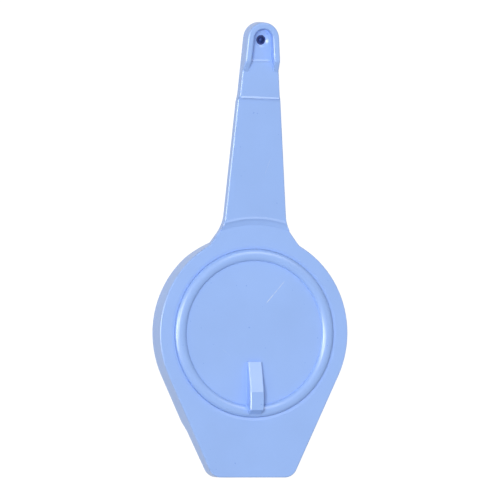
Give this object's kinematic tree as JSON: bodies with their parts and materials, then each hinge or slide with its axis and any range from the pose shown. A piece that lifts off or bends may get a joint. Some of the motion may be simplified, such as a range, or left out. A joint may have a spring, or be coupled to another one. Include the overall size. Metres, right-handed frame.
{
  "type": "cheek retractor",
  "caption": "Hand-held cheek retractor: thin leaning blade with a hooded, lit tip, round palm grip, and a rotary switch dial with a thumb rib.",
  "frame": {"origin": "on the dial's axis, in the plane of the flat back that the object lies on", "axes": "+Z out of the dial's face, +Y along the blade to the tip, +X to the right when seen from the face"},
  "size_m": [0.0758, 0.1732, 0.0181],
  "materials": {
    "housing": "satin moulded, fine texture",
    "seal_rubber": "matte",
    "screw_steel": "satin",
    "board": "solder mask, semi-gloss",
    "copper_gold": "gold-plated",
    "chip_black": "matte",
    "capacitor_tan": "matte ceramic",
    "holder_black": "matte",
    "cell_steel": "satin nickel",
    "spring_nickel": "bright",
    "wire_red": "smooth",
    "wire_black": "smooth",
    "lens_dark": "dark tinted, glossy",
    "shroud_navy": "matte",
    "switch_white": "matte"
  },
  "bodies": {
    "housing": {"front_shell": "housing", "back_shell": "housing", "blade_cover": "housing", "shell_gasket": "seal_rubber", "shell_screw_1": "screw_steel", "shell_screw_2": "screw_steel", "shell_screw_3": "screw_steel", "shell_screw_4": "screw_steel", "circuit_board": "board", "switch_tracks": "copper_gold", "driver_chip": "chip_black", "resistor": "chip_black", "capacitor": "capacitor_tan", "battery_holder": "holder_black", "coin_cell_left": "cell_steel", "coin_cell_right": "cell_steel", "link_contact": "spring_nickel", "positive_contact": "spring_nickel", "negative_contact": "spring_nickel", "detent_spring": "spring_nickel", "positive_lead": "wire_red", "negative_lead": "wire_black", "led": "lens_dark", "led_shroud": "shroud_navy"},
    "dial_unit": {"dial": "housing", "dial_o_ring": "seal_rubber", "switch_rotor": "switch_white", "contact_wiper": "copper_gold", "rotor_screw": "screw_steel"}
  },
  "joints": [
    {"name": "dial_turn", "type": "hinge", "parent": "housing", "child": "dial_unit", "pos_m": [0, 0, 0.0077], "axis": [0, 0, 1], "range_deg": [0, 60], "deforming": ["detent_spring"]}
  ]
}
